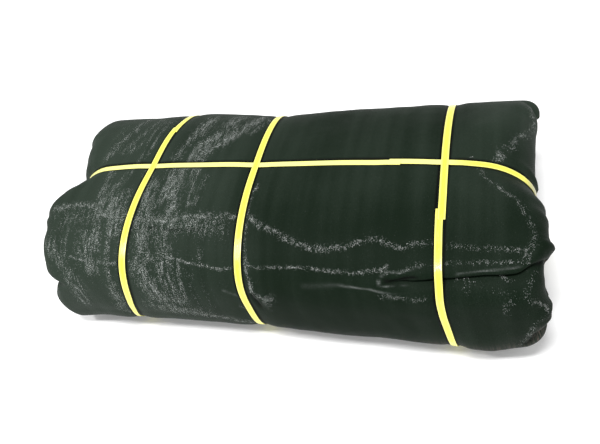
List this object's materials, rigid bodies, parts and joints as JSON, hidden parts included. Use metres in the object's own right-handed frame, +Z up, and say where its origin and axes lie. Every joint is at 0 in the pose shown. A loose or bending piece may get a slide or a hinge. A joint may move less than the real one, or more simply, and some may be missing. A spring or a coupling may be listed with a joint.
{
  "type": "strapped bale of windbreak netting",
  "caption": "Flat-wound bolster of dark green woven netting with softly lobed ends and a folded dart, tied round its girth and along its length with yellow plastic straps.",
  "frame": {"origin": "on the floor under the middle of the bale's length and depth", "axes": "+X along the bale towards the end with the dart, +Y to its back, +Z up"},
  "size_m": [1.0818, 0.5642, 0.269],
  "materials": {
    "netting": "woven plastic tape cloth, satin with pale sheen lines",
    "strap": "embossed semi-gloss strapping"
  },
  "bodies": {
    "root": {"netting": "netting", "strap_girth_left": "strap", "strap_girth_middle": "strap", "strap_girth_right": "strap", "strap_long": "strap"}
  },
  "joints": []
}
